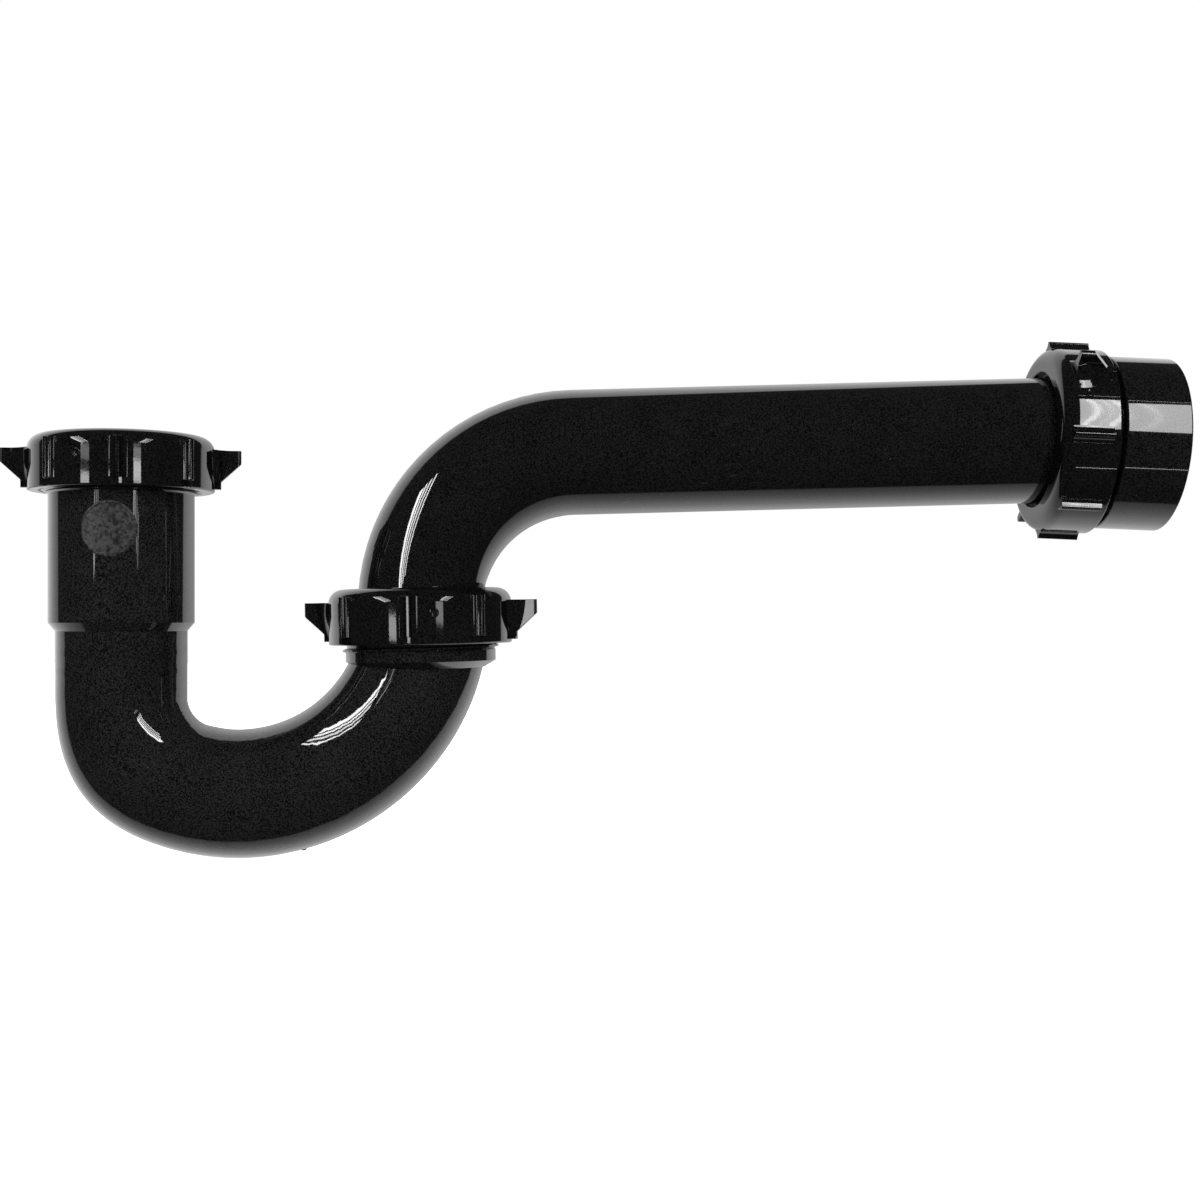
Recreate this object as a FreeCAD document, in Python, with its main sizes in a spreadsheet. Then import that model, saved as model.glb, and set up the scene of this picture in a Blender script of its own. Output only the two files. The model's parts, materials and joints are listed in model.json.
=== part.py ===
"""A 1-1/2 inch tubular P-trap in black ABS: J-bend, trap arm and trap adapter, joined by
three slip nuts that each press a washer onto a socket's rim.

The row frame is in millimetres. +Z points up along the inlet, +X points towards the adapter,
and the origin is the centre of the inlet socket's rim, where the inlet washer sits.
Each slip joint has a frame of its own: +Z leaves the socket along its axis, from its rim.
"""

import FreeCAD, Part
import math
import os
from types import SimpleNamespace

import Sketcher

V = FreeCAD.Vector

# alias, value in millimetres or degrees, meaning
DRIVING_SIZES = [
    ("tube_radius", 19.05, "outside of the 1-1/2 inch trap arm"),
    ("arm_bore_radius", 16.6, "inside of the trap arm"),
    ("thread_pitch", 2.209, "slip joint thread, 11.5 turns per inch"),
    ("thread_crest_radius", 23.8, "outside of the male thread"),
    ("thread_root_radius", 22.5, "root of the male thread"),
    ("ridge_base", 0.8, "half width of the male ridge at its root"),
    ("ridge_crest", 0.25, "half width of the male ridge at its crest"),
    ("female_bore_radius", 24.1, "bore of the nut between its ridges"),
    ("female_ridge_radius", 22.85, "inner edge of the nut's ridges"),
    ("female_base", 0.6, "half width of the nut's ridge at the bore"),
    ("female_crest", 0.2, "half width of the nut's ridge at its inner edge"),
    ("thread_start", -13.1, "lowest ridge centre on the outlet and the adapter"),
    ("nut_top", 5.6, "nut's outer face above the rim"),
    ("nut_ceiling", 3.1, "nut's inner face above the rim"),
    ("nut_foot", -11.2, "nut's open end"),
    ("nut_radius", 27.9, "nut's ring between the ribs"),
    ("nut_opening", 20.6, "radius of the hole for the tube"),
    ("nut_shoulder", 4.4, "round from the nut's face to its side"),
    ("nut_mouth_radius", 24.75, "lead-in at the nut's open end"),
    ("rib_height", 2.1, "rib above the ring"),
    ("rib_crest", 0.7, "half width of a rib's crest"),
    ("rib_root", 2.7, "half width of a rib's root"),
    ("rib_top", 3.1, "rib's upper end"),
    ("rib_foot", -8.8, "rib's lower end"),
    ("rib_lead", 3.2, "turn of the ribs from evenly between the wings"),
    ("wing_tip_radius", 36.0, "reach of a wing"),
    ("wing_half", 1.1, "half thickness of a wing"),
    ("wing_flare", 8.2, "half width of a wing's root"),
    ("wing_top", 1.75, "upper edge of a wing"),
    ("wing_edge_foot", -2.3, "lower end of a wing's outer edge"),
    ("wing_slant_foot", -7.9, "lower end of a wing's slanted edge"),
    ("wing_foot", -10.2, "lowest point of a wing"),
    ("wing_stem", 29.85, "reach of a wing's foot"),
    ("washer_hole", 19.65, "hole of the inlet's and the adapter's washer"),
    ("outlet_washer_hole", 19.95, "hole of the outlet's washer, with room for the arm's turn"),
    ("washer_radius", 22.6, "outside of a washer"),
    ("washer_thickness", 3.0, "thickness of a washer"),
    ("seat_gap", 0.05, "air between a washer and each face beside it"),
    ("inlet_bore_radius", 19.35, "inlet socket, a slip fit on a 1-1/2 inch tailpiece"),
    ("inlet_bore_depth", 48.0, "depth of the inlet socket"),
    ("socket_radius", 21.8, "outside of the inlet socket below its thread"),
    ("socket_foot", -51.2, "lower end of the inlet socket"),
    ("socket_taper", 2.8, "height of the taper below the socket"),
    ("leg_radius", 19.68, "outside of the J-bend at its straight leg"),
    ("sweep_radius", 19.6, "outside of the J-bend round its wide sweep"),
    ("bend_wall", 2.85, "wall of the J-bend"),
    ("corner_height", -74.17, "level where the straight leg starts to turn"),
    ("corner_bend", 28.35, "centreline radius of the first, tight turn"),
    ("corner_swell", 0.75, "how much the section grows and moves outwards, halfway round the tight turn"),
    ("sweep_bend", 57.27, "centreline radius of the wide sweep"),
    ("sweep_centre_x", 35.91, "centre of the wide sweep"),
    ("sweep_end", 171.2, "where the sweep ends inside the outlet socket"),
    ("outlet_x", 91.3, "outlet rim from the inlet axis"),
    ("outlet_z", -46.45, "outlet rim below the inlet rim"),
    ("outlet_tilt", 1.0, "lean of the outlet towards the inlet"),
    ("outlet_bore_radius", 19.45, "outlet socket, a slip fit on the trap arm"),
    ("outlet_bore_depth", 15.0, "depth of the outlet socket"),
    ("collar_radius", 22.85, "plain collar below the outlet thread"),
    ("collar_top", -12.7, "upper end of the outlet collar"),
    ("collar_foot", -16.4, "lower end of the outlet collar"),
    ("collar_taper", 2.1, "height of the taper below the outlet collar"),
    ("arm_foot", -13.5, "lower end of the trap arm in its socket"),
    ("arm_bend_start", -1.15, "level where the trap arm starts to turn"),
    ("arm_bend", 47.6, "centreline radius of the trap arm's turn"),
    ("arm_turn", 89.55, "angle of the trap arm's turn"),
    ("arm_run", 156.0, "straight run of the trap arm"),
    ("arm_insertion", 10.0, "arm past the middle of the adapter's washer"),
    ("adapter_fall", 2.5, "fall of the adapter's axis towards the drain pipe"),
    ("inlet_twist", 8.8, "turn of the inlet nut from having its wings along X"),
    ("outlet_twist", -6.0, "turn of the outlet nut from having its wings along X"),
    ("adapter_twist", -50.7, "turn of the adapter nut, whose upper wing leans towards -Y"),
    ("adapter_bore_radius", 20.75, "adapter's slip bore"),
    ("hub_radius", 26.15, "outside of the adapter's hub"),
    ("hub_top", -13.2, "hub's shoulder"),
    ("hub_foot", -32.4, "hub's open end"),
    ("pipe_radius", 24.2, "hub's socket for a 1-1/2 inch drain pipe"),
    ("pipe_depth", 17.5, "depth of the hub's socket"),
]

RIDGE_BURIED = 0.2  # how deep a thread ridge or a taper reaches into the wall beside it
EDGE_BREAK = 0.5  # small chamfer on moulded rims
CUT_OVERRUN = 2.0  # how far a cutting shape reaches past the surface that it opens
LEAD_IN = 1.0  # chamfer where a thread starts, and a washer's bevel
MALE_SPIN = 180  # turns the male thread so that its ridges run between the nut's
NUT_THREAD_LIFT = 2  # turns from the male thread's lowest ridge up to the nut's
NUT_THREAD_TURNS = 3.5
RIB_SPAN = 90  # three ribs, 45 degrees apart, on each side between the wings
RIB_FLANK = 2.6  # radius of a rib's hollow flank
RIB_ROUND = 0.5  # radius along a rib's crest
RIB_CORNER = 0.35  # how much of the crest's height and half width that round takes
RIB_TOE = 0.13  # how far the ring has curved away where a rib's flank meets it
WING_BACK = 25.6  # inner end of a wing, inside the nut's wall
WING_ROUND = 9.0  # radius of the hollow from a wing's root to its plate
WING_TIP_ROUND = 0.8  # radius of a wing tip's two upright corners
# share of a wing's height, share of its root's half width, where its hollow starts and ends
WING_SECTIONS = [
    (0.0, 0.2, 27.22, 29.2),
    (0.5, 0.86, 26.63, 31.6),
    (1.0, 1.0, 26.5, 32.6),
]
LEG_STEP = 3.0  # spacing of the loft's sections along the straight leg
TURN_STEP = 7.5  # largest angle between the loft's sections round the turns


class Size:
    """A number together with the spreadsheet expression that gives it."""

    def __init__(self, number, text=None):
        self.number = float(number)
        self.text = text or repr(float(number))

    @staticmethod
    def of(item):
        return item if isinstance(item, Size) else Size(item)

    def __add__(self, other):
        other = Size.of(other)
        return Size(self.number + other.number, f"({self.text} + {other.text})")

    def __sub__(self, other):
        other = Size.of(other)
        return Size(self.number - other.number, f"({self.text} - {other.text})")

    def __mul__(self, other):
        other = Size.of(other)
        return Size(self.number * other.number, f"({self.text} * {other.text})")

    def __neg__(self):
        return Size(-self.number, f"(-1 * {self.text})")

    def sine(self):
        return Size(math.sin(math.radians(self.number)), f"sin({self.text} * 1 deg)")

    def cosine(self):
        return Size(math.cos(math.radians(self.number)), f"cos({self.text} * 1 deg)")


def make_sheet(doc):
    """Fill the spreadsheet and return its aliases as sizes."""
    sheet = doc.addObject("Spreadsheet::Sheet", "sizes")
    for row, (alias, value, meaning) in enumerate(DRIVING_SIZES, 1):
        sheet.set(f"A{row}", alias)
        sheet.set(f"B{row}", str(value))
        sheet.set(f"C{row}", meaning)
        sheet.setAlias(f"B{row}", alias)
    doc.recompute()
    return SimpleNamespace(**{alias: Size(value, f"sizes.{alias}") for alias, value, _ in DRIVING_SIZES})


def bind(thing, prop, size):
    thing.setExpression(prop, Size.of(size).text)


def origin_part(body, role):
    return next(item for item in body.Origin.OriginFeatures if item.Role == role)


def add_edge(sketch, start, end, radius):
    """Add a line, or an arc whose signed radius is positive where it turns left.

    Returns the edge's index and the positions of its first and last point.
    """
    a, b = (V(point[0].number, point[1].number, 0) for point in (start, end))
    if radius is None:
        return sketch.addGeometry(Part.LineSegment(a, b), False), 1, 2
    first, last = (a, b) if radius.number > 0 else (b, a)
    size = abs(radius.number)
    half = (last - first) * 0.5
    left = V(-half.y, half.x, 0).normalize()
    centre = first + half + left * math.sqrt(size**2 - half.Length**2)
    angles = [math.atan2(point.y - centre.y, point.x - centre.x) for point in (first, last)]
    if angles[1] < angles[0]:
        angles[1] += 2 * math.pi
    index = sketch.addGeometry(Part.ArcOfCircle(Part.Circle(centre, V(0, 0, 1), size), *angles), False)
    radius_rule = sketch.addConstraint(Sketcher.Constraint("Radius", index, size))
    bind(sketch, f"Constraints[{radius_rule}]", radius if radius.number > 0 else -radius)
    return (index, 1, 2) if radius.number > 0 else (index, 2, 1)


def outline(sketch, corners, closed=True):
    """Draw straight and round edges through corners: (x, y) or (x, y, radius of the next edge)."""
    corners = [[None if item is None else Size.of(item) for item in corner] for corner in corners]
    count = len(corners) if closed else len(corners) - 1
    edges = []
    for i in range(count):
        radius = corners[i][2] if len(corners[i]) > 2 else None
        edges.append(add_edge(sketch, corners[i], corners[(i + 1) % len(corners)], radius))
    for i, (index, _, last) in enumerate(edges):
        if closed or i + 1 < count:
            other, first, _ = edges[(i + 1) % count]
            sketch.addConstraint(Sketcher.Constraint("Coincident", index, last, other, first))
    for i, corner in enumerate(corners):
        index, first, last = edges[min(i, count - 1)]
        point = first if i < count else last
        for kind, size in (("DistanceX", corner[0]), ("DistanceY", corner[1])):
            rule = sketch.addConstraint(Sketcher.Constraint(kind, index, point, size.number))
            bind(sketch, f"Constraints[{rule}]", size)


def add_sketch(body, name, role, outlines=(), level=None, turn=0):
    """A sketch on one of the body's own planes, lifted by level and turned by turn degrees."""
    sketch = body.newObject("Sketcher::SketchObject", name)
    sketch.AttachmentSupport = (origin_part(body, role), [""])
    sketch.MapMode = "FlatFace"
    sketch.AttachmentOffset = FreeCAD.Placement(V(0, 0, 0), FreeCAD.Rotation(V(0, 0, 1), turn))
    if level is not None:
        bind(sketch, ".AttachmentOffset.Base.z", level)
    for corners in outlines:
        outline(sketch, corners)
    return sketch


def add_revolution(body, name, corners):
    sketch = add_sketch(body, f"{name}_section", "XZ_Plane", [corners])
    turned = body.newObject("PartDesign::Revolution", name)
    turned.Profile = (sketch, [""])
    turned.ReferenceAxis = (origin_part(body, "Z_Axis"), [""])
    turned.Angle = 360
    return turned


def add_pad(body, name, sketch, length):
    pad = body.newObject("PartDesign::Pad", name)
    pad.Profile = (sketch, [""])
    bind(pad, "Length", length)
    return pad


def add_pattern(body, name, features, count, angle):
    pattern = body.newObject("PartDesign::PolarPattern", name)
    pattern.Originals = features
    pattern.Axis = (origin_part(body, "Z_Axis"), [""])
    pattern.Angle = angle
    pattern.Occurrences = count
    body.Tip = pattern
    return pattern


def add_thread(body, name, sizes, corners, height):
    """A right-hand ridge that climbs from its section on the XZ plane."""
    sketch = add_sketch(body, f"{name}_section", "XZ_Plane", [corners])
    ridge = body.newObject("PartDesign::AdditiveHelix", name)
    ridge.Profile = (sketch, [""])
    ridge.ReferenceAxis = (origin_part(body, "Z_Axis"), [""])
    ridge.Mode = 0
    bind(ridge, "Pitch", sizes.thread_pitch)
    bind(ridge, "Height", height)
    body.Tip = ridge
    return ridge


def joint_frame(x, z, lean, twist=0):
    """The frame of a slip joint: its rim's centre and its axis, leaning from +Z towards +X."""
    spin = FreeCAD.Rotation(V(0, 0, 1), twist)
    return FreeCAD.Placement(V(x, 0, z), FreeCAD.Rotation(V(0, 1, 0), lean).multiply(spin))


def male_end(doc, name, sizes, frame, skirt, turns_up):
    """A solid threaded end: a thread root from the rim down, then the skirt's own outline."""
    body = doc.addObject("PartDesign::Body", name)
    rim = [
        (0, 0),
        (sizes.thread_root_radius - LEAD_IN, 0),
        (sizes.thread_root_radius, -LEAD_IN),
    ]
    add_revolution(body, f"{name}_core", rim + skirt)
    inner = sizes.thread_root_radius - RIDGE_BURIED
    start = sizes.thread_start + sizes.thread_pitch * turns_up
    ridge = [
        (inner, start - sizes.ridge_base),
        (sizes.thread_crest_radius, start - sizes.ridge_crest),
        (sizes.thread_crest_radius, start + sizes.ridge_crest),
        (inner, start + sizes.ridge_base),
    ]
    add_thread(body, f"{name}_thread", sizes, ridge, -start - LEAD_IN - sizes.ridge_crest)
    spin = FreeCAD.Rotation(V(0, 0, 1), MALE_SPIN)
    body.Placement = frame.multiply(FreeCAD.Placement(V(0, 0, 0), spin))
    return body


def slip_nut(doc, name, sizes, frame):
    """A slip nut with a female thread, two wings and six grip ribs."""
    body = doc.addObject("PartDesign::Body", name)
    shoulder_radius = sizes.nut_radius - sizes.nut_shoulder
    shoulder_foot = sizes.nut_top - sizes.nut_shoulder
    ring = [
        (sizes.nut_opening, sizes.nut_ceiling),
        (sizes.female_bore_radius, sizes.nut_ceiling),
        (sizes.female_bore_radius, sizes.nut_foot + LEAD_IN),
        (sizes.nut_mouth_radius, sizes.nut_foot),
        (sizes.nut_radius - EDGE_BREAK, sizes.nut_foot, Size(EDGE_BREAK)),
        (sizes.nut_radius, sizes.nut_foot + EDGE_BREAK),
        (sizes.nut_radius, shoulder_foot, sizes.nut_shoulder),
        (shoulder_radius, sizes.nut_top),
        (sizes.nut_opening + EDGE_BREAK, sizes.nut_top, Size(EDGE_BREAK)),
        (sizes.nut_opening, sizes.nut_top - EDGE_BREAK),
    ]
    add_revolution(body, f"{name}_ring", ring)
    add_ribs(body, name, sizes)
    add_wings(body, name, sizes)

    outer = sizes.female_bore_radius + RIDGE_BURIED
    start = sizes.thread_start + sizes.thread_pitch * NUT_THREAD_LIFT
    ridge = [
        (sizes.female_ridge_radius, start - sizes.female_crest),
        (outer, start - sizes.female_base),
        (outer, start + sizes.female_base),
        (sizes.female_ridge_radius, start + sizes.female_crest),
    ]
    add_thread(body, f"{name}_thread", sizes, ridge, sizes.thread_pitch * NUT_THREAD_TURNS)
    body.Placement = frame
    return body


def add_ribs(body, name, sizes):
    """Ribs with hollow flanks, drawn as an opposite pair and repeated every 45 degrees."""
    root = sizes.nut_radius - LEAD_IN
    toe = sizes.nut_radius - RIB_TOE
    crest = sizes.nut_radius + sizes.rib_height
    crest_half = sizes.rib_crest - RIB_CORNER
    flank = Size(-RIB_FLANK)
    top = Size(RIB_ROUND)
    pair = []
    for side in (1, -1):
        pair.append(
            [
                (root * side, -sizes.rib_root * side),
                (toe * side, -sizes.rib_root * side, flank),
                ((crest - RIB_CORNER) * side, -sizes.rib_crest * side, top),
                (crest * side, -crest_half * side),
                (crest * side, crest_half * side, top),
                ((crest - RIB_CORNER) * side, sizes.rib_crest * side, flank),
                (toe * side, sizes.rib_root * side),
                (root * side, sizes.rib_root * side),
            ]
        )
    turn = RIB_SPAN / 2 + sizes.rib_lead.number
    sketch = add_sketch(body, f"{name}_rib_plan", "XY_Plane", pair, sizes.rib_foot, turn)
    ribs = add_pad(body, f"{name}_rib_pair", sketch, sizes.rib_top - sizes.rib_foot)
    add_pattern(body, f"{name}_ribs", [ribs], 3, RIB_SPAN)


def add_wings(body, name, sizes):
    """Two opposite wings: a plate that flares into the ring and narrows to a small foot."""
    height = sizes.wing_top - sizes.wing_foot
    hollow = Size(-WING_ROUND)
    corner = Size(WING_TIP_ROUND)
    face = sizes.wing_half - WING_TIP_ROUND
    plans = []
    for i, (rise, share, hollow_start, hollow_end) in enumerate(WING_SECTIONS):
        level = sizes.wing_foot + height * rise
        flare = sizes.wing_flare * share
        plan = [
            (WING_BACK, -flare),
            (hollow_start, -flare, hollow),
            (hollow_end, -sizes.wing_half),
            (sizes.wing_tip_radius - WING_TIP_ROUND, -sizes.wing_half, corner),
            (sizes.wing_tip_radius, -face),
            (sizes.wing_tip_radius, face, corner),
            (sizes.wing_tip_radius - WING_TIP_ROUND, sizes.wing_half),
            (hollow_end, sizes.wing_half, hollow),
            (hollow_start, flare),
            (WING_BACK, flare),
        ]
        plans.append(add_sketch(body, f"{name}_wing_plan_{i}", "XY_Plane", [plan], level))
    loft = body.newObject("PartDesign::AdditiveLoft", f"{name}_wing")
    loft.Profile = (plans[0], [""])
    loft.Sections = [(plan, [""]) for plan in plans[1:]]

    reach = sizes.wing_tip_radius + CUT_OVERRUN
    below = sizes.wing_foot - CUT_OVERRUN
    side_view = [
        (reach, sizes.wing_edge_foot),
        (sizes.wing_tip_radius, sizes.wing_edge_foot),
        (sizes.wing_stem, sizes.wing_slant_foot),
        (sizes.wing_stem, below),
        (reach, below),
    ]
    sketch = add_sketch(body, f"{name}_wing_side", "XZ_Plane", [side_view])
    trim = body.newObject("PartDesign::Pocket", f"{name}_wing_trim")
    trim.Profile = (sketch, [""])
    trim.Midplane = True
    bind(trim, "Length", sizes.wing_flare * 2)
    add_pattern(body, f"{name}_wings", [loft, trim], 2, 360)


def slip_washer(doc, name, sizes, frame, hole_frame, hole_radius):
    """A bevelled washer on its rim; its hole follows the tube that passes through it."""
    disc = doc.addObject("PartDesign::Body", f"{name}_disc")
    low = sizes.seat_gap
    high = sizes.seat_gap + sizes.washer_thickness
    section = [
        (0, low),
        (sizes.washer_radius - LEAD_IN, low),
        (sizes.washer_radius, high - LEAD_IN, Size(LEAD_IN)),
        (sizes.washer_radius - LEAD_IN, high),
        (0, high),
    ]
    add_revolution(disc, f"{name}_turned", section)
    disc.Placement = frame
    hole = add_cylinder(
        doc,
        f"{name}_hole",
        hole_frame,
        hole_radius,
        -sizes.washer_thickness,
        sizes.washer_thickness * 3,
    )
    washer = doc.addObject("Part::Cut", name)
    washer.Base = disc
    washer.Tool = hole
    return washer


def add_cylinder(doc, name, frame, radius, low, length):
    """A cylinder along a frame's +Z, from the level low."""
    cylinder = doc.addObject("Part::Cylinder", name)
    cylinder.Placement = frame.multiply(FreeCAD.Placement(V(0, 0, low.number), FreeCAD.Rotation()))
    bind(cylinder, "Radius", radius)
    bind(cylinder, "Height", length)
    return cylinder


def bend_stations(sizes):
    """Places along the J-bend's centreline: x, z, direction of travel in degrees, and swell.

    The leg goes straight down, turns tightly, and then sweeps round to climb into the outlet.
    A direction of 0 is down, 90 is +X and 180 is up.
    """
    top = CUT_OVERRUN - sizes.inlet_bore_depth.number
    corner_z = sizes.corner_height.number
    corner = sizes.corner_bend.number
    sweep = sizes.sweep_bend.number
    sweep_x = sizes.sweep_centre_x.number
    drop = math.sqrt((sweep - corner) ** 2 - (sweep_x - corner) ** 2)
    change = math.degrees(math.atan2(drop, sweep_x - corner))

    stations = []
    leg_count = math.ceil((top - corner_z) / LEG_STEP)
    for i in range(leg_count):
        stations.append((0, top + (corner_z - top) * i / leg_count, 0, 0))
    corner_count = math.ceil(change / TURN_STEP)
    for i in range(corner_count):
        turn = change * i / corner_count
        swell = math.sin(math.pi * i / corner_count) ** 2
        reach = corner + sizes.corner_swell.number * swell
        x = corner - reach * math.cos(math.radians(turn))
        z = corner_z - reach * math.sin(math.radians(turn))
        stations.append((x, z, turn, swell))
    sweep_count = math.ceil((sizes.sweep_end.number - change) / TURN_STEP)
    for i in range(sweep_count + 1):
        turn = change + (sizes.sweep_end.number - change) * i / sweep_count
        x = sweep_x - sweep * math.cos(math.radians(turn))
        z = corner_z + drop - sweep * math.sin(math.radians(turn))
        stations.append((x, z, turn, 0))
    return stations


def bend_loft(doc, name, sizes, wall):
    """The J-bend's tube as a loft through round sections, made smaller by wall."""
    circles = []
    for i, (x, z, turn, swell) in enumerate(bend_stations(sizes)):
        circle = doc.addObject("Part::Circle", f"{name}_section_{i}")
        # The section's own X axis stays on the row's -Y, so the loft has no twist.
        across = FreeCAD.Rotation(V(0, -1, 0), V(0, 0, 0), V(*heading(turn)), "ZXY")
        circle.Placement = FreeCAD.Placement(V(x, 0, z), across)
        base = sizes.leg_radius if turn == 0 else sizes.sweep_radius
        bind(circle, "Radius", base + sizes.corner_swell * swell - wall)
        circles.append(circle)
    loft = doc.addObject("Part::Loft", name)
    loft.Sections = circles
    loft.Solid = True
    return loft


def heading(turn):
    """Unit direction of travel in the XZ plane: 0 is down, 90 is +X, 180 is up."""
    angle = math.radians(turn)
    return math.sin(angle), 0, -math.cos(angle)


def join(doc, name, shapes):
    """Fuse shapes one after another."""
    fused = shapes[0]
    for i, shape in enumerate(shapes[1:], 1):
        pair = doc.addObject("Part::Fuse", f"{name}_{i}")
        pair.Base = fused
        pair.Tool = shape
        fused = pair
    return fused


def j_bend(doc, sizes, inlet, outlet):
    root = sizes.thread_root_radius
    inlet_skirt = [
        (root, sizes.nut_foot - EDGE_BREAK),
        (sizes.socket_radius, sizes.nut_foot - 2 * EDGE_BREAK),
        (sizes.socket_radius, sizes.socket_foot),
        (sizes.leg_radius - RIDGE_BURIED, sizes.socket_foot - sizes.socket_taper),
        (0, sizes.socket_foot - sizes.socket_taper),
    ]
    outlet_skirt = [
        (root, sizes.collar_top),
        (sizes.collar_radius, sizes.collar_top - EDGE_BREAK),
        (sizes.collar_radius, sizes.collar_foot),
        (sizes.sweep_radius, sizes.collar_foot - sizes.collar_taper),
        (0, sizes.collar_foot - sizes.collar_taper),
    ]
    solids = [
        male_end(doc, "inlet_end", sizes, inlet, inlet_skirt, 1),
        bend_loft(doc, "bend_tube", sizes, Size(0)),
        male_end(doc, "outlet_end", sizes, outlet, outlet_skirt, 0),
    ]
    hollows = [
        bore(doc, "inlet_bore", inlet, sizes.inlet_bore_radius, sizes.inlet_bore_depth),
        bend_loft(doc, "bend_waterway", sizes, sizes.bend_wall),
        bore(doc, "outlet_bore", outlet, sizes.outlet_bore_radius, sizes.outlet_bore_depth),
    ]
    bend = doc.addObject("Part::Cut", "j_bend")
    bend.Base = join(doc, "bend_solids", solids)
    bend.Tool = join(doc, "bend_hollows", hollows)
    return bend


def bore(doc, name, frame, radius, depth):
    return add_cylinder(doc, name, frame, radius, -depth, depth + CUT_OVERRUN)


def trap_arm(doc, sizes, frame):
    """The arm's tube: up out of its socket, round one turn and along the run."""
    body = doc.addObject("PartDesign::Body", "trap_arm")
    start = sizes.arm_bend_start
    turn_x = sizes.arm_bend - sizes.arm_bend * sizes.arm_turn.cosine()
    turn_z = start + sizes.arm_bend * sizes.arm_turn.sine()
    path = [
        (0, sizes.arm_foot),
        (0, start, -sizes.arm_bend),
        (turn_x, turn_z),
        (turn_x + sizes.arm_run * sizes.arm_turn.sine(), turn_z + sizes.arm_run * sizes.arm_turn.cosine()),
    ]
    spine = add_sketch(body, "arm_path", "XZ_Plane")
    outline(spine, path, closed=False)
    ring = add_sketch(body, "arm_section", "XY_Plane", level=sizes.arm_foot)
    for radius in (sizes.tube_radius, sizes.arm_bore_radius):
        index = ring.addGeometry(Part.Circle(V(0, 0, 0), V(0, 0, 1), radius.number), False)
        ring.addConstraint(Sketcher.Constraint("Coincident", index, 3, -1, 1))
        rule = ring.addConstraint(Sketcher.Constraint("Radius", index, radius.number))
        bind(ring, f"Constraints[{rule}]", radius)
    pipe = body.newObject("PartDesign::AdditivePipe", "arm_tube")
    pipe.Profile = (ring, [""])
    pipe.Spine = (spine, [""])
    body.Placement = frame
    return body


def trap_adapter(doc, sizes, frame):
    """The adapter: a threaded slip end, and a hub with a socket for the drain pipe."""
    root = sizes.thread_root_radius
    skirt = [
        (root, sizes.hub_top),
        (sizes.hub_radius - EDGE_BREAK, sizes.hub_top, Size(-EDGE_BREAK)),
        (sizes.hub_radius, sizes.hub_top - EDGE_BREAK),
        (sizes.hub_radius, sizes.hub_foot + EDGE_BREAK, Size(-EDGE_BREAK)),
        (sizes.hub_radius - EDGE_BREAK, sizes.hub_foot),
        (0, sizes.hub_foot),
    ]
    solid = male_end(doc, "adapter_end", sizes, frame, skirt, 0)
    step = sizes.hub_foot + sizes.pipe_depth
    slip_bore = bore(doc, "adapter_bore", frame, sizes.adapter_bore_radius, -step + CUT_OVERRUN)
    pipe_socket = add_cylinder(
        doc,
        "pipe_socket",
        frame,
        sizes.pipe_radius,
        sizes.hub_foot - CUT_OVERRUN,
        sizes.pipe_depth + CUT_OVERRUN,
    )
    adapter = doc.addObject("Part::Cut", "trap_adapter")
    adapter.Base = solid
    adapter.Tool = join(doc, "adapter_hollows", [slip_bore, pipe_socket])
    return adapter


def arm_point(sizes, outlet, along):
    """A point on the arm's straight run, and the run's rise above the horizontal in degrees."""
    turn = math.radians(sizes.arm_turn.number)
    radius = sizes.arm_bend.number
    x = radius - radius * math.cos(turn) + along * math.sin(turn)
    z = sizes.arm_bend_start.number + radius * math.sin(turn) + along * math.cos(turn)
    rise = 90 + sizes.outlet_tilt.number - sizes.arm_turn.number
    return outlet.multVec(V(x, 0, z)), rise


def check(doc, nodes):
    for item in doc.Objects:
        if "Invalid" in item.State or "Error" in item.State:
            raise RuntimeError(f"{item.Name} failed: {item.State}")
    for node in nodes:
        if node.Shape.isNull() or not node.Shape.isValid() or len(node.Shape.Solids) != 1:
            raise RuntimeError(f"{node.Label} isn't one valid solid")


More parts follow.
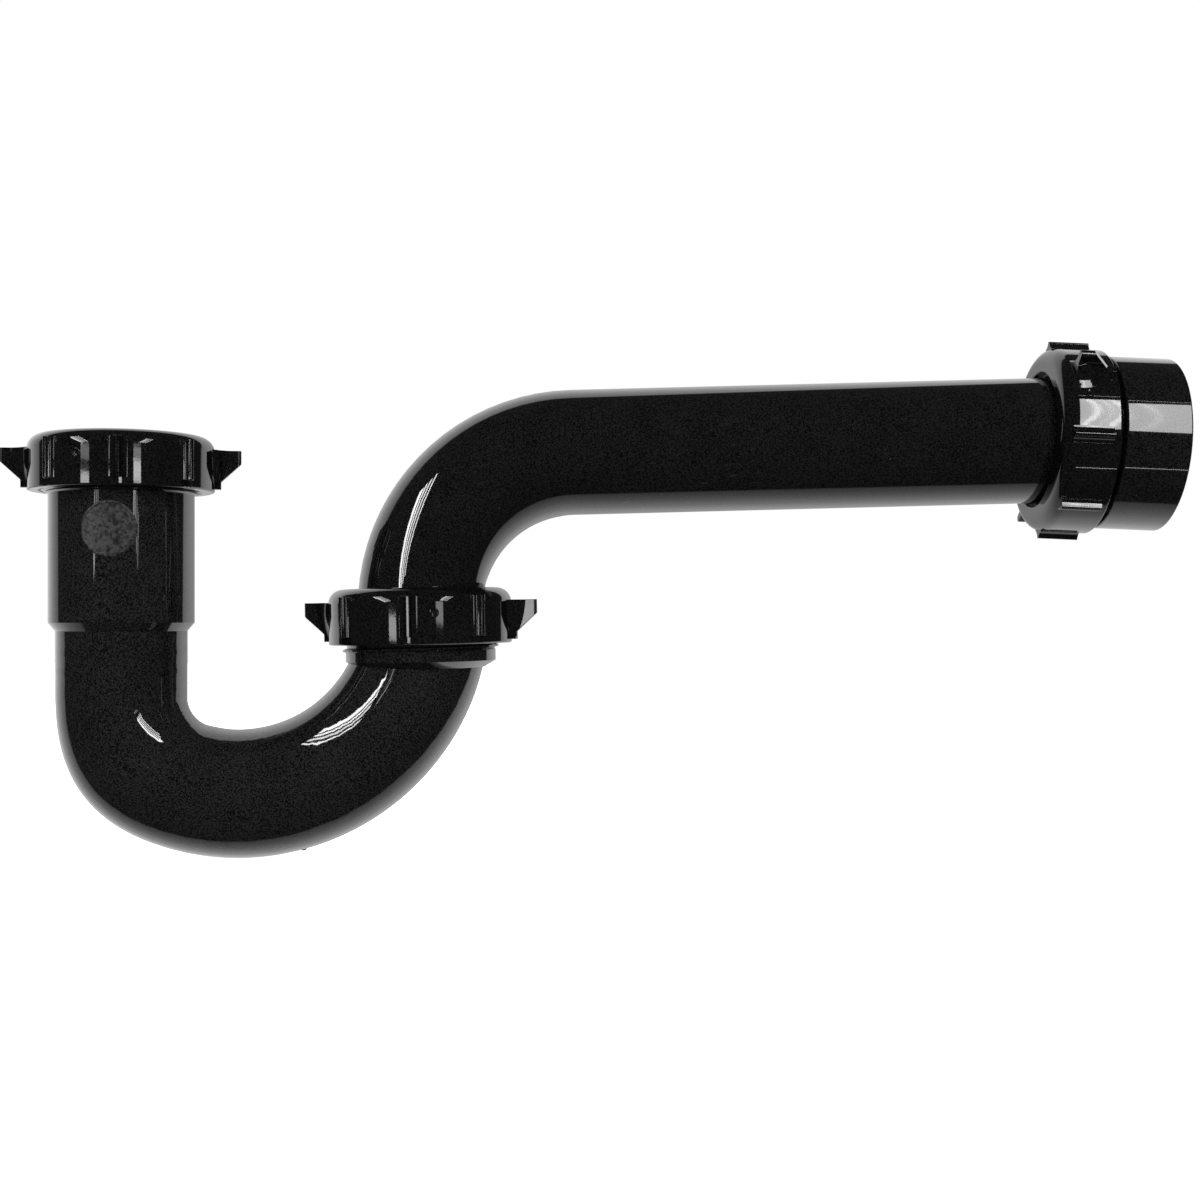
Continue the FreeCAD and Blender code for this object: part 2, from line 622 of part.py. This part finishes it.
def main():
    doc = FreeCAD.newDocument("p_trap")
    sizes = make_sheet(doc)

    inlet = joint_frame(0, 0, 0, sizes.inlet_twist.number)
    outlet_place = (sizes.outlet_x.number, sizes.outlet_z.number, -sizes.outlet_tilt.number)
    outlet = joint_frame(*outlet_place, sizes.outlet_twist.number)
    arm_frame = joint_frame(*outlet_place)
    pivot, rise = arm_point(sizes, arm_frame, sizes.arm_run.number - sizes.arm_insertion.number)
    fall = sizes.adapter_fall.number
    washer_middle = sizes.seat_gap.number + sizes.washer_thickness.number / 2
    along = V(math.cos(math.radians(fall)), 0, -math.sin(math.radians(fall)))
    rim = pivot + along * washer_middle
    adapter = joint_frame(rim.x, rim.z, -90 + fall, sizes.adapter_twist.number)
    tube_through_adapter = joint_frame(pivot.x, pivot.z, -90 - rise)

    nodes = [
        j_bend(doc, sizes, inlet, outlet),
        slip_washer(doc, "inlet_washer", sizes, inlet, inlet, sizes.washer_hole),
        slip_nut(doc, "inlet_nut", sizes, inlet),
        trap_arm(doc, sizes, arm_frame),
        slip_washer(doc, "outlet_washer", sizes, outlet, outlet, sizes.outlet_washer_hole),
        slip_nut(doc, "outlet_nut", sizes, outlet),
        trap_adapter(doc, sizes, adapter),
        slip_washer(doc, "adapter_washer", sizes, adapter, tube_through_adapter, sizes.washer_hole),
        slip_nut(doc, "adapter_nut", sizes, adapter),
    ]
    for node in nodes:
        node.Label = node.Name
    doc.recompute()
    check(doc, nodes)

    os.makedirs("parts", exist_ok=True)
    for node in nodes:
        node.Shape.exportStep(f"parts/{node.Label}.step")
        box = node.Shape.optimalBoundingBox(False)
        corners = [round(value, 2) for value in (box.XMin, box.YMin, box.ZMin, box.XMax, box.YMax, box.ZMax)]
        print(node.Label, "volume", round(node.Shape.Volume / 1000, 2), "cm3", corners)


main()
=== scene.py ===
"""Looks of the P-trap: glossy moulded black ABS with fine grain, scuffs, mould marks and a rough pad.

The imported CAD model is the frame. Small mesh pieces add what the moulds leave on the real parts.
Lengths are in metres, in the CAD's own frame: +Z up along the inlet, +X towards the adapter.
"""

import json
import math

import bmesh
import bpy
from mathutils import Matrix, Vector, noise


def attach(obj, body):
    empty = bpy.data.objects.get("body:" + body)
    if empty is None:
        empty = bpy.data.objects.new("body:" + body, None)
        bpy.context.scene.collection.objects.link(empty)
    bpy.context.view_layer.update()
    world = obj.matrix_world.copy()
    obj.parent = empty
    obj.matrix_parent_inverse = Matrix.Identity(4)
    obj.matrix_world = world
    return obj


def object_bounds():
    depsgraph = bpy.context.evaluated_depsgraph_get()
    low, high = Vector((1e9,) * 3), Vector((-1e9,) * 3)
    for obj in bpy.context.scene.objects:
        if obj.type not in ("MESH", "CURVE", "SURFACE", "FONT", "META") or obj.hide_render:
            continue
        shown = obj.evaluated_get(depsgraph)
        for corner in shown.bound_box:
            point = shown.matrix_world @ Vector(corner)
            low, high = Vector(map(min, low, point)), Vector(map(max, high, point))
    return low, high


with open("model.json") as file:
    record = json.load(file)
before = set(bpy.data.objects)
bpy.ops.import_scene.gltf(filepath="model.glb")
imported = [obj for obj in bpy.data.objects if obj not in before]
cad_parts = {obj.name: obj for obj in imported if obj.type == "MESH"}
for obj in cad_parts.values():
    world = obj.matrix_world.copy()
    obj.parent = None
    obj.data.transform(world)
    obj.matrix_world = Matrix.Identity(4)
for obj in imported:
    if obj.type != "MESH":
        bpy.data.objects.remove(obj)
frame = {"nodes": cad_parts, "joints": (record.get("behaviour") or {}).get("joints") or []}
cad_box = [list(corner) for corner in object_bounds()]

MM = 0.001
JOINTS = {joint["name"]: joint for joint in frame["joints"]}


def nut_axis(joint_name):
    """A slip nut's rim and axis, from its hinge in the frame."""
    joint = JOINTS[joint_name]
    return {"base": Vector(joint["pos_m"]), "axis": Vector(joint["axis"])}


INLET = nut_axis("inlet_nut_turn")
OUTLET = nut_axis("outlet_nut_turn")
ADAPTER = nut_axis("adapter_nut_turn")
SOCKET_RADIUS = 21.8 * MM
NUT_RADIUS = 27.9 * MM
# The J-bend's wide sweep and the arm's turn: centre, centreline radius and outside of the tube.
SWEEP = {"centre": Vector((35.91, 0, -46.27)) * MM, "bend": 57.27 * MM, "tube": 19.6 * MM}
ARM_TURN = {"centre": Vector((138.91, 0, -46.77)) * MM, "bend": 47.6 * MM, "tube": 19.05 * MM}


# ---------------------------------------------------------------- materials


class Nodes:
    """Small helper that adds and links shader nodes."""

    def __init__(self, tree):
        self.tree = tree
        tree.nodes.clear()

    def put(self, socket, value):
        """Link a socket, or set it when the value is plain."""
        if isinstance(value, bpy.types.NodeSocket):
            self.tree.links.new(value, socket)
        else:
            socket.default_value = value

    def add(self, kind, inputs=None, **settings):
        node = self.tree.nodes.new(kind)
        for name, value in settings.items():
            setattr(node, name, value)
        for name, value in (inputs or {}).items():
            self.put(node.inputs[name], value)
        return node

    def math(self, operation, a, b=0.0, clamp=False):
        node = self.add("ShaderNodeMath", {0: a, 1: b}, operation=operation, use_clamp=clamp)
        return node.outputs[0]

    def scale(self, value, factor, shift):
        """value times factor, plus shift."""
        node = self.add("ShaderNodeMath", {0: value, 1: factor, 2: shift}, operation="MULTIPLY_ADD")
        return node.outputs[0]

    def ramp(self, value, low, high):
        """0 below low, 1 above high, smooth between."""
        node = self.add(
            "ShaderNodeMapRange",
            {"Value": value, "From Min": low, "From Max": high},
            interpolation_type="SMOOTHSTEP",
        )
        return node.outputs[0]

    def noise(self, where, scale, detail=2.0, roughness=0.5):
        node = self.add(
            "ShaderNodeTexNoise",
            {"Vector": where, "Scale": scale, "Detail": detail, "Roughness": roughness},
        )
        return node.outputs[0]

    def blend(self, amount, first, second):
        node = self.add("ShaderNodeMix", data_type="RGBA")
        for index, value in ((0, amount), (6, first), (7, second)):
            self.put(node.inputs[index], value)
        return node.outputs[2]

    def bump(self, height, distance):
        """A bump whose height is in metres."""
        return self.add("ShaderNodeBump", {"Strength": 1.0, "Distance": distance, "Height": height})

    def surface(self, base, rough, normal):
        """The plastic's or rubber's shader and the material's output."""
        shader = self.add(
            "ShaderNodeBsdfPrincipled",
            {"Base Color": base, "Roughness": rough, "Normal": normal.outputs[0], "IOR": 1.5},
        )
        self.add("ShaderNodeOutputMaterial", {"Surface": shader.outputs[0]})


def new_material(name):
    """A material, its nodes and its object coordinates."""
    material = bpy.data.materials.new(name)
    material.use_nodes = True
    nodes = Nodes(material.node_tree)
    return material, nodes, nodes.add("ShaderNodeTexCoord").outputs["Object"]


def colour(value, tint=1.0):
    return (value, value, value * tint, 1.0)


def black_abs(name, mean, roughness, swell, scuffs, edge=0.0):
    """Moulded black ABS: mottled grain, flow variation, dust specks, scuffs and rounded edges."""
    material, nodes, place = new_material(name)
    flow = nodes.noise(place, 90.0, 3.0)
    fine = nodes.noise(place, 2000.0, 2.0, 0.6)
    broad = nodes.noise(place, 420.0, 2.0)
    stretched = nodes.add("ShaderNodeMapping", {"Vector": place, "Scale": (0.35, 1.0, 3.2)}).outputs[0]
    smear = nodes.ramp(nodes.noise(stretched, 380.0, 4.0, 0.7), 0.60, 0.74)
    patch = nodes.ramp(nodes.noise(place, 36.0, 2.0), 0.52, 0.70)
    scuff = nodes.math("MULTIPLY", smear, patch)
    specks = nodes.ramp(nodes.noise(place, 900.0, 1.0), 0.80, 0.84)

    mottle = nodes.math("ADD", nodes.ramp(fine, 0.38, 0.62), nodes.math("MULTIPLY", flow, 0.5))
    mottle = nodes.math("SUBTRACT", mottle, 0.25, clamp=True)
    base = nodes.blend(mottle, colour(mean * 0.1, COOL), colour(mean * 1.9, COOL))
    base = nodes.blend(nodes.math("MULTIPLY", scuff, scuffs), base, colour(0.10))
    base = nodes.blend(nodes.math("MULTIPLY", specks, 0.5), base, colour(0.20))

    rough = nodes.scale(fine, 0.03, roughness - 0.015)
    rough = nodes.math("ADD", rough, nodes.math("MULTIPLY", scuff, 0.18 * scuffs), clamp=True)

    waves = nodes.bump(broad, swell * MM)
    if edge:
        rounded = nodes.add("ShaderNodeBevel", {"Radius": edge * MM}, samples=6)
        nodes.put(waves.inputs["Normal"], rounded.outputs[0])
    grain = nodes.bump(fine, 0.0001 * MM)
    nodes.put(grain.inputs["Normal"], waves.outputs[0])
    nodes.surface(base, rough, grain)
    return material


def rough_patch(name, mean, grain):
    """The rough, light-catching texture of the pad on the socket."""
    material, nodes, place = new_material(name)
    fine = nodes.noise(place, 900.0, 3.0, 0.7)
    broad = nodes.noise(place, 300.0, 2.0)
    mottle = nodes.math("ADD", nodes.ramp(fine, 0.42, 0.58), nodes.math("MULTIPLY", broad, 0.6))
    mottle = nodes.math("SUBTRACT", mottle, 0.3, clamp=True)
    base = nodes.blend(mottle, colour(mean * 0.15), colour(mean * 2.1))
    nodes.surface(base, nodes.scale(fine, 0.3, 0.35), nodes.bump(fine, grain * MM))
    return material


def washer_rubber():
    """Dark, dusty rubber."""
    material, nodes, place = new_material("washer_rubber")
    fine = nodes.noise(place, 1800.0, 3.0)
    dust = nodes.noise(place, 160.0, 4.0)
    base = nodes.blend(dust, colour(0.018), colour(0.045))
    nodes.surface(base, nodes.scale(dust, 0.2, 0.45), nodes.bump(fine, 0.012 * MM))
    return material


COOL = 1.06  # the black plastic's faint blue tint
# Mean colour, roughness, swell in mm, share of scuffs, and the edges' rounding in mm.
ABS = {
    "j_bend": black_abs("abs_j_bend", 0.022, 0.04, 0.0006, 0.35),
    "trap_arm": black_abs("abs_trap_arm", 0.012, 0.04, 0.0006, 0.9),
    "trap_adapter": black_abs("abs_trap_adapter", 0.014, 0.05, 0.002, 0.2),
    "inlet_nut": black_abs("abs_inlet_nut", 0.009, 0.04, 0.004, 0.3, 0.2),
    "outlet_nut": black_abs("abs_outlet_nut", 0.009, 0.04, 0.004, 0.3, 0.2),
    "adapter_nut": black_abs("abs_adapter_nut", 0.009, 0.04, 0.003, 0.3, 0.2),
}
RUBBER = washer_rubber()
for name, node in frame["nodes"].items():
    material = ABS.get(name, RUBBER)
    if not node.material_slots:
        node.data.materials.append(material)
    for slot in node.material_slots:
        slot.material = material


# ------------------------------------------------------------ mould details

# Lamps that are meant for one body light its small pieces too.
LIT_WITH = {name: [node] for name, node in frame["nodes"].items()}


def make_piece(name, mesh, body, material):
    """A visible mesh piece that rides on a body."""
    mesh.name = name
    for face in mesh.polygons:
        face.use_smooth = True
    piece = bpy.data.objects.new(name, mesh)
    bpy.context.scene.collection.objects.link(piece)
    piece.data.materials.append(material)
    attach(piece, body)
    LIT_WITH[body].append(piece)
    return piece


def around(joint, radius, angle, along):
    """A point on a cylinder about a joint's axis; angle 0 is the front, -Y, and grows with +X or +Z."""
    axis = joint["axis"]
    front = Vector((0, -1, 0))
    side = axis.cross(front).normalized()
    if side.x + side.z * 0.5 < 0:
        side = -side
    turn = math.radians(angle)
    return joint["base"] + axis * along + (front * math.cos(turn) + side * math.sin(turn)) * radius


def cylinder_patch(joint, radius, angle, along, half, height, rings=20, steps=56):
    """A round patch wrapped onto a cylinder; height gives its rise from its share of the radius."""
    mesh = bpy.data.meshes.new("patch")
    work = bmesh.new()
    rows = []
    for i in range(rings + 1):
        share = i / rings
        row = []
        for j in range(steps):
            turn = 2 * math.pi * j / steps
            across, up = half * share * math.cos(turn), half * share * math.sin(turn)
            rise = height(share, across, up)
            degrees = angle + math.degrees(across / radius)
            row.append(work.verts.new(around(joint, radius + rise, degrees, along + up)))
            if i == 0:
                break
        rows.append(row)
    for j in range(steps):
        work.faces.new((rows[0][0], rows[1][j], rows[1][(j + 1) % steps]))
    for low, high in zip(rows[1:], rows[2:]):
        for j in range(steps):
            work.faces.new((low[j], high[j], high[(j + 1) % steps], low[(j + 1) % steps]))
    bmesh.ops.recalc_face_normals(work, faces=work.faces)
    centre = joint["base"] + joint["axis"] * along
    out = rows[0][0].co - centre
    if rows[0][0].link_faces[0].normal.dot(out) < 0:
        bmesh.ops.reverse_faces(work, faces=work.faces)
    work.to_mesh(mesh)
    work.free()
    return mesh


def pad_height(share, across, up):
    """The pad's rough floor and its slightly raised rim, which runs into the wall at its edge."""
    rim = math.exp(-(((share - 0.93) / 0.035) ** 2)) * 0.14
    floor = 0.06 if share < 0.9 else 0.02
    rough = noise.noise(Vector((across, up, 0.3)) * 900) * 0.05
    rough += noise.noise(Vector((up, across, 2)) * 2400) * 0.035
    edge = -0.12 if share > 0.985 else 0.0
    fade = 1.0 if share < 0.9 else 0.35
    return (rim + floor + rough * fade + edge) * MM


def ring_mark(share, across, up):
    """A gate mark: a small raised ring round a sunk middle."""
    rim = math.exp(-(((share - 0.72) / 0.16) ** 2)) * 0.22
    edge = -0.1 if share > 0.98 else 0.0
    return (rim + 0.02 + edge) * MM


PAD = rough_patch("abs_rough_pad", 0.032, 0.08)
pad = cylinder_patch(INLET, SOCKET_RADIUS, 4.2, -23.6 * MM, 8.5 * MM, pad_height, 60, 160)
make_piece("socket_pad", pad, "j_bend", PAD)

for body, joint, angle, along in (
    ("inlet_nut", INLET, -13.0, -1.7 * MM),
    ("outlet_nut", OUTLET, 12.5, -1.9 * MM),
    ("adapter_nut", ADAPTER, 24.0, -2.0 * MM),
):
    mesh = cylinder_patch(joint, NUT_RADIUS, angle, along, 1.5 * MM, ring_mark, 14, 36)
    make_piece(f"{body}_gate_mark", mesh, body, ABS[body])


def seam(name, body, points, normals, half, rise, material):
    """A parting line: a low rounded ridge that follows points along the surface."""
    mesh = bpy.data.meshes.new(name)
    work = bmesh.new()
    rows = []
    count = len(points)
    for i, (point, normal) in enumerate(zip(points, normals)):
        travel = (points[min(i + 1, count - 1)] - points[max(i - 1, 0)]).normalized()
        side = travel.cross(normal).normalized()
        fade = min(1.0, i / 4, (count - 1 - i) / 4)
        row = []
        for across, up in ((-1, -0.35), (-0.5, 0.55), (0, 1), (0.5, 0.55), (1, -0.35)):
            lift = up * rise * fade if up > 0 else up * rise
            row.append(work.verts.new(point + side * across * half + normal * lift))
        rows.append(row)
    for low, high in zip(rows, rows[1:]):
        for j in range(4):
            work.faces.new((low[j], low[j + 1], high[j + 1], high[j]))
    bmesh.ops.recalc_face_normals(work, faces=work.faces)
    work.faces.ensure_lookup_table()
    middle = work.faces[len(work.faces) // 2]
    if middle.normal.dot(normals[count // 2]) < 0:
        bmesh.ops.reverse_faces(work, faces=work.faces)
    work.to_mesh(mesh)
    work.free()
    return make_piece(name, mesh, body, material)


def arc(turn, out, first, last, steps):
    """Points and normals along a turn's outer or inner side; angles are from +X towards +Z."""
    points, normals = [], []
    for i in range(steps + 1):
        angle = math.radians(first + (last - first) * i / steps)
        normal = Vector((math.cos(angle), 0, math.sin(angle)))
        points.append(turn["centre"] + normal * (turn["bend"] + out * turn["tube"]))
        normals.append(normal * out)
    return points, normals


# The J-bend's and the arm's centrelines lie in the XZ plane, and so do their parting lines.
for name, body, turn, out, first, last, steps in (
    ("sweep_outer_seam", "j_bend", SWEEP, 1, 278, 345, 48),
    ("sweep_inner_seam", "j_bend", SWEEP, -1, 268, 330, 40),
    ("arm_turn_outer_seam", "trap_arm", ARM_TURN, 1, 168, 92, 50),
    ("arm_turn_inner_seam", "trap_arm", ARM_TURN, -1, 166, 92, 40),
):
    points, normals = arc(turn, out, first, last, steps)
    seam(name, body, points, normals, 0.35 * MM, 0.10 * MM, ABS[body])

points = [around(INLET, SOCKET_RADIUS, 50.0, z * MM) for z in range(-50, -13, 1)]
normals = [Vector((point.x, point.y, 0)).normalized() for point in points]
seam("socket_seam", "j_bend", points, normals, 0.16 * MM, 0.045 * MM, ABS["j_bend"])

# The J-bend's own gate leaves a nub low on the wide sweep: a flattened, uneven ball, half sunk in.
NUB_RADIUS = 1.0 * MM
NUB_SUNK = 0.05 * MM
nub_turn = math.radians(285.0)
nub_out = Vector((math.cos(nub_turn), 0, math.sin(nub_turn)))
nub_place = SWEEP["centre"] + nub_out * (SWEEP["bend"] + SWEEP["tube"] - NUB_SUNK)
work = bmesh.new()
bmesh.ops.create_uvsphere(work, u_segments=24, v_segments=12, radius=NUB_RADIUS)
for vertex in work.verts:
    vertex.co += nub_out * (-0.5 * vertex.co.dot(nub_out))
    vertex.co += vertex.co * noise.noise(vertex.co * 1800) * 0.12
    vertex.co += nub_place
nub_mesh = bpy.data.meshes.new("gate")
work.to_mesh(nub_mesh)
work.free()
make_piece("sweep_gate_nub", nub_mesh, "j_bend", ABS["j_bend"])


# ---------------------------------------------------------- floor and light

FLOOR_GAP = 0.4 * MM
floor_mesh = bpy.data.meshes.new("floor")
work = bmesh.new()
bmesh.ops.create_grid(work, x_segments=1, y_segments=1, size=2.0)
work.to_mesh(floor_mesh)
work.free()
floor = bpy.data.objects.new("floor", floor_mesh)
floor.location = (0.15, 0, cad_box[0][2] - FLOOR_GAP)
bpy.context.scene.collection.objects.link(floor)
# The pale floor glows as brightly as the background, so no line shows where it ends.
pale = bpy.data.materials.new("pale_floor")
pale.use_nodes = True
shader = pale.node_tree.nodes["Principled BSDF"]
shader.inputs["Base Color"].default_value = (0.86, 0.86, 0.86, 1)
shader.inputs["Roughness"].default_value = 0.9
shader.inputs["Specular IOR Level"].default_value = 0.1
shader.inputs["Emission Color"].default_value = (1, 1, 1, 1)
shader.inputs["Emission Strength"].default_value = 1.0
floor_mesh.materials.append(pale)
floor.visible_glossy = False
floor.visible_diffuse = False

world = bpy.data.worlds.new("studio")
bpy.context.scene.world = world
world.use_nodes = True
nodes = Nodes(world.node_tree)
direction = nodes.add("ShaderNodeTexCoord").outputs["Generated"]
split = nodes.add("ShaderNodeSeparateXYZ", {0: direction})
right, back, up = split.outputs[0], split.outputs[1], split.outputs[2]
# A white sweep stands behind and below the object. It ends sooner on the right, and it is
# brightest near its edge. The room in front of it is dim.
side = nodes.math("MULTIPLY", nodes.math("MAXIMUM", right, 0.0), nodes.math("ADD", up, 1.0))
edge = nodes.math("SUBTRACT", back, nodes.math("MULTIPLY", up, 0.22))
edge = nodes.math("SUBTRACT", edge, nodes.math("MULTIPLY", side, 0.46))
lit = nodes.ramp(edge, 0.17, 0.24)
deep = nodes.math("DIVIDE", nodes.math("SUBTRACT", back, 0.7), 0.3, clamp=True)
fall = nodes.math("SUBTRACT", 1.0, nodes.math("MULTIPLY", nodes.math("MULTIPLY", deep, deep), 0.646))
near = nodes.math("ADD", nodes.math("MULTIPLY", back, 1.2), 0.4, clamp=True)
glow = nodes.math("MULTIPLY", nodes.math("MULTIPLY", lit, fall), near)
level = nodes.scale(glow, 1.3, 0.05)
seen = nodes.add("ShaderNodeLightPath").outputs["Is Camera Ray"]
studio = nodes.add("ShaderNodeBackground", {"Color": colour(1.0), "Strength": level})
plain = nodes.add("ShaderNodeBackground", {"Color": colour(1.0), "Strength": 1.0})
both = nodes.add("ShaderNodeMixShader", {0: seen, 1: studio.outputs[0], 2: plain.outputs[0]})
nodes.add("ShaderNodeOutputWorld", {"Surface": both.outputs[0]})


def area_light(name, size, power, only=None):
    """A rectangular lamp that the camera doesn't see; only names the objects that it lights."""
    data = bpy.data.lights.new(name, "AREA")
    data.shape = "RECTANGLE"
    data.size, data.size_y = size
    data.energy = power
    lamp = bpy.data.objects.new(name, data)
    bpy.context.scene.collection.objects.link(lamp)
    lamp.visible_camera = False
    if only:
        group = bpy.data.collections.new(f"{name}_receivers")
        for item in only:
            group.objects.link(item)
        lamp.light_linking.receiver_collection = group
    return lamp


def strip(name, foot, top, width, radiance, bodies, offset=0.0):
    """A strip from foot to top, in millimetres, that faces the object and only shows as a glint."""
    foot, top = Vector(foot) * MM, Vector(top) * MM
    centre = (foot + top) / 2
    along = (top - foot).normalized()
    back = (centre - AIM).normalized()
    side = along.cross(back).normalized()
    back = side.cross(along).normalized()
    length = (top - foot).length
    only = [item for body in bodies for item in LIT_WITH[body]]
    lamp = area_light(name, (width * MM, length), radiance * math.pi * width * MM * length, only)
    lamp.location = centre + side * offset * MM
    lamp.rotation_mode = "QUATERNION"
    lamp.rotation_quaternion = Matrix((side, along, back)).transposed().to_quaternion()
    lamp.visible_diffuse = False


def tubes(name, line, low, high, radiance, bodies):
    """The tubes of one fixture along a leaning line, between two heights."""
    foot, top = (Vector(end) for end in line)
    rise = top.z - foot.z
    ends = [foot.lerp(top, (height - foot.z) / rise) for height in (low, high)]
    for i, (offset, width, share) in enumerate(TUBES):
        strip(f"{name}_{i}", *ends, width, radiance * share, bodies, offset)


AIM = Vector((60, 0, -40)) * MM
LEFT = ((-305, -650, 12), (-400, -270, 430))
RIGHT = ((455, -640, 12), (510, -400, 430))
FAR_END = ["trap_adapter", "adapter_nut"]
NEAR_NUTS = ["inlet_nut", "outlet_nut"]
BENDS = ["j_bend", "trap_arm"]
WASHERS = ["inlet_washer", "outlet_washer", "adapter_washer"]

# Each fixture has four tubes: place across, width, share of the brightness.
TUBES = ((-44, 26, 1.0), (-12, 12, 1.0), (16, 14, 0.7), (46, 9, 1.0))
# Name, leaning line, lowest and highest point, radiance, lit bodies.
for fixture in (
    ("left_lamp", LEFT, 95, 430, 26, BENDS + WASHERS),
    ("left_nut_lamp", LEFT, 95, 430, 16, NEAR_NUTS),
    ("left_low_lamp", LEFT, 5, 45, 6, ["j_bend"]),
    ("left_arm_lamp", LEFT, 12, 95, 24, ["trap_arm"]),
    ("right_lamp", RIGHT, 100, 430, 24, ["j_bend"]),
    ("right_nut_lamp", RIGHT, 100, 430, 14, NEAR_NUTS),
    ("right_low_lamp", RIGHT, 5, 45, 6, ["j_bend"]),
):
    tubes(*fixture)
# Upright panels for one nut each: name, X, Y, lowest and highest point, width, radiance, nut.
for name, x, y, low, high, width, radiance, nut in (
    ("inlet_nut_left", -350, -615, 36, 51, 130, 9, "inlet_nut"),
    ("inlet_nut_left_faint", -350, -615, 60, 72, 130, 3, "inlet_nut"),
    ("inlet_nut_right", 388, -612, 45, 62, 110, 11, "inlet_nut"),
    ("inlet_nut_right_faint", 388, -612, 64, 72, 110, 4, "inlet_nut"),
    ("outlet_nut_left", -270, -630, -72, -54, 110, 7, "outlet_nut"),
    ("outlet_nut_right", 425, -640, -49, 54, 110, 4, "outlet_nut"),
    ("inlet_rib_lamp", 157, -705, 36, 75, 40, 9, "inlet_nut"),
    ("outlet_rib_lamp", -35, -717, -72, -36, 40, 8, "outlet_nut"),
):
    strip(name, (x, y, low), (x, y, high), width, radiance, [nut])
HUB_FOOT, HUB_TOP = (497, -560, 95), (611, -560, 595)
strip("hub_panel", HUB_FOOT, HUB_TOP, 130, 10, FAR_END)
for i, offset in enumerate((-36, -26, -17, 7)):
    strip(f"hub_tube_{i}", HUB_FOOT, HUB_TOP, 5, 11, FAR_END, offset)
strip("hub_top_line", (540, -560, 690), (740, -560, 690), 4, 12, FAR_END)
strip("hub_low_line", (325, -160, -115), (405, -160, -115), 1.5, 12, FAR_END)

# A broad soft light in front shows the plastic's own colour.
fill = area_light("fill_light", (1.6, 1.6), 17.0)
fill.location = (0.15, -1.6, 0.5)
fill.rotation_euler = (math.radians(71), 0, 0)
fill.visible_glossy = False

# A broad soft light from above falls on the floor only.
over = area_light("floor_light", (5.0, 5.0), 100.0, [floor])
over.location = (0.15, 0, 2.2)


# ------------------------------------------------------------------- camera

camera_data = bpy.data.cameras.new("camera")
camera_data.lens = 48.36
camera_data.sensor_width = 36.0
camera_data.shift_x = 0.05
camera_data.shift_y = 0.0125
camera_data.clip_start = 0.01
camera_data.clip_end = 50.0
camera = bpy.data.objects.new("camera", camera_data)
camera.location = (0.128, -0.4936, -0.0489)
camera.rotation_euler = (math.pi / 2, 0, 0)
bpy.context.scene.collection.objects.link(camera)
bpy.context.scene.camera = camera
bpy.context.scene.view_settings.view_transform = "Standard"
bpy.context.scene.view_settings.look = "None"
